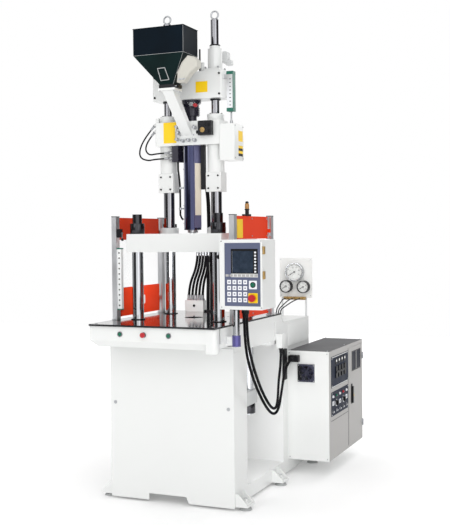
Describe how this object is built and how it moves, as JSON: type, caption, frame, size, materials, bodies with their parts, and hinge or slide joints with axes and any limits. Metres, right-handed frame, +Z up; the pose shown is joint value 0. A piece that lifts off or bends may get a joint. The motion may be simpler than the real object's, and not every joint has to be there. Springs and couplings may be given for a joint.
{
  "type": "vertical injection moulding machine",
  "caption": "Vertical injection moulding machine with a table at waist height, tie-bar clamp, red side guards, hopper-fed injection unit, swinging control box and side cabinet.",
  "frame": {"origin": "bottom centre of the machine's box, on the floor", "axes": "+X to the operator's right, +Y to the back of the machine, +Z up"},
  "size_m": [1.126, 1.881, 2.789],
  "materials": {
    "white_paint": "gloss",
    "grey_paint": "satin",
    "red_guard": "gloss",
    "black_table": "gloss",
    "steel_chrome": "polished",
    "black_steel": "satin",
    "grey_steel": "satin",
    "black_plastic": "matte",
    "green_plastic": "gloss",
    "red_plastic": "gloss",
    "aluminium": "satin",
    "hopper_paint": "satin",
    "rubber": "matte",
    "panel_blue": "satin",
    "cabinet_glass": "gloss"
  },
  "bodies": {
    "base": {"base_frame": "white_paint", "front_panel": "white_paint", "levelling_feet": "black_steel", "rear_cover": "white_paint", "tank_and_pump": "grey_paint", "lower_platen": "grey_steel", "table_plate": "black_table", "console": "white_paint", "clamp_cylinder": "grey_paint", "guard_posts": "aluminium", "limit_switch": "black_plastic", "pole_socket": "grey_steel", "cabinet_shell": "white_paint", "gauge_panel": "white_paint", "hose_fittings": "white_paint", "control_conduits": "rubber", "gauge_hoses": "rubber", "platen_hoses": "rubber"},
    "platen": {"tie_bars": "steel_chrome", "tie_bar_nuts": "black_steel", "upper_platen": "white_paint", "clamp_link": "grey_steel", "carriage_rods": "steel_chrome", "carriage_hoses": "rubber"},
    "carriage": {"injection_carriage": "white_paint", "injection_rods": "steel_chrome", "barrel": "grey_steel", "barrel_guard": "steel_chrome", "carriage_manifold": "black_steel", "junction_box": "white_paint", "hopper": "hopper_paint", "feed_chute": "white_paint", "injection_hoses": "rubber"},
    "crosshead": {"injection_crosshead": "white_paint", "injection_cylinders": "white_paint", "screw_motor": "black_steel", "screw_transducer": "aluminium"},
    "screw": {"feed_screw": "grey_steel"},
    "control_arm": {"pole": "steel_chrome", "control_box": "white_paint", "control_face": "panel_blue"},
    "start_left": {"start_button_left": "green_plastic"},
    "stop": {"stop_button": "red_plastic"},
    "start_right": {"start_button_right": "green_plastic"},
    "lid": {"hopper_lid": "hopper_paint"},
    "gate": {"hopper_gate": "grey_steel"},
    "door_left": {"guard_door_left": "red_guard"},
    "door_right": {"guard_door_right": "red_guard"},
    "lever": {"limit_lever": "grey_steel"},
    "cycle": {"cycle_button": "green_plastic"},
    "estop": {"emergency_stop": "red_plastic"},
    "cab_door": {"cabinet_door": "white_paint"},
    "handle": {"door_handle": "black_plastic"},
    "breakers": {"breaker_lever": "black_plastic"},
    "selector_a": {"selector_front": "aluminium"},
    "selector_b": {"selector_back": "aluminium"},
    "fan": {"fan_rotor": "black_plastic"},
    "pointer_main": {"needle_main": "black_plastic"},
    "pointer_left": {"needle_left": "black_plastic"},
    "pointer_right": {"needle_right": "black_plastic"}
  },
  "joints": [
    {"name": "clamp_slide", "type": "slide", "parent": "base", "child": "platen", "axis": [0, 0, 1], "range_m": [-0.2, 0], "deforming": ["platen_hoses"]},
    {"name": "carriage_slide", "type": "slide", "parent": "platen", "child": "carriage", "axis": [0, 0, 1], "range_m": [0, 0.06], "deforming": ["carriage_hoses"]},
    {"name": "injection_slide", "type": "slide", "parent": "carriage", "child": "crosshead", "axis": [0, 0, 1], "range_m": [0, 0.1]},
    {"name": "screw_spin", "type": "hinge", "parent": "crosshead", "child": "screw", "pos_m": [-0.105, -0.3815, 1.9], "axis": [0, 0, 1], "continuous": true},
    {"name": "lid_hinge", "type": "hinge", "parent": "carriage", "child": "lid", "pos_m": [-0.165, -0.4885, 2.6565], "axis": [-1, 0, 0], "range_deg": [0, 100]},
    {"name": "gate_slide", "type": "slide", "parent": "carriage", "child": "gate", "axis": [1, 0, 0], "range_m": [0, 0.05]},
    {"name": "start_left_press", "type": "slide", "parent": "base", "child": "start_left", "axis": [0, 1, 0], "range_m": [0, 0.004], "stiffness_N_per_m": 600, "springref_m": -0.002},
    {"name": "stop_press", "type": "slide", "parent": "base", "child": "stop", "axis": [0, 1, 0], "range_m": [0, 0.004], "stiffness_N_per_m": 600, "springref_m": -0.002},
    {"name": "start_right_press", "type": "slide", "parent": "base", "child": "start_right", "axis": [0, 1, 0], "range_m": [0, 0.004], "stiffness_N_per_m": 600, "springref_m": -0.002},
    {"name": "control_swing", "type": "hinge", "parent": "base", "child": "control_arm", "pos_m": [0.326, -0.7695, 1], "axis": [0, 0, 1], "range_deg": [-60, 45], "deforming": ["control_conduits"]},
    {"name": "cycle_press", "type": "slide", "parent": "control_arm", "child": "cycle", "axis": [0, 1, 0], "range_m": [0, 0.004], "stiffness_N_per_m": 600, "springref_m": -0.002},
    {"name": "estop_press", "type": "slide", "parent": "control_arm", "child": "estop", "axis": [0, 1, 0], "range_m": [0, 0.006], "stiffness_N_per_m": 800, "springref_m": -0.002},
    {"name": "guard_left_hinge", "type": "hinge", "parent": "base", "child": "door_left", "pos_m": [-0.479, -0.1055, 1.3], "axis": [0, 0, 1], "range_deg": [-90, 0]},
    {"name": "guard_right_hinge", "type": "hinge", "parent": "base", "child": "door_right", "pos_m": [0.269, -0.1055, 1.3], "axis": [0, 0, 1], "range_deg": [0, 90]},
    {"name": "lever_tilt", "type": "hinge", "parent": "base", "child": "lever", "pos_m": [-0.429, -0.6475, 1.516], "axis": [1, 0, 0], "range_deg": [-20, 20], "stiffness_Nm_per_rad": 0.3},
    {"name": "cab_door_hinge", "type": "hinge", "parent": "base", "child": "cab_door", "pos_m": [0.552, 0.9295, 0.44], "axis": [0, 0, 1], "range_deg": [0, 110]},
    {"name": "handle_turn", "type": "hinge", "parent": "cab_door", "child": "handle", "pos_m": [0.545, 0.6725, 0.445], "axis": [1, 0, 0], "range_deg": [0, 90]},
    {"name": "breaker_throw", "type": "slide", "parent": "base", "child": "breakers", "axis": [0, 0, -1], "range_m": [0, 0.012]},
    {"name": "selector_a_turn", "type": "hinge", "parent": "base", "child": "selector_a", "pos_m": [0.547, 0.3125, 0.445], "axis": [1, 0, 0], "range_deg": [-45, 45]},
    {"name": "selector_b_turn", "type": "hinge", "parent": "base", "child": "selector_b", "pos_m": [0.547, 0.4725, 0.445], "axis": [1, 0, 0], "range_deg": [-45, 45]},
    {"name": "fan_spin", "type": "hinge", "parent": "base", "child": "fan", "pos_m": [0.4, 0.1915, 0.642], "axis": [0, 1, 0], "continuous": true},
    {"name": "main_needle_turn", "type": "hinge", "parent": "base", "child": "pointer_main", "pos_m": [0.198, 0.5405, 1.252], "axis": [0, 1, 0], "range_deg": [0, 240], "stiffness_Nm_per_rad": 0.02},
    {"name": "left_needle_turn", "type": "hinge", "parent": "base", "child": "pointer_left", "pos_m": [0.137, 0.5405, 1.156], "axis": [0, 1, 0], "range_deg": [0, 240], "stiffness_Nm_per_rad": 0.02},
    {"name": "right_needle_turn", "type": "hinge", "parent": "base", "child": "pointer_right", "pos_m": [0.257, 0.5405, 1.154], "axis": [0, 1, 0], "range_deg": [0, 240], "stiffness_Nm_per_rad": 0.02}
  ]
}
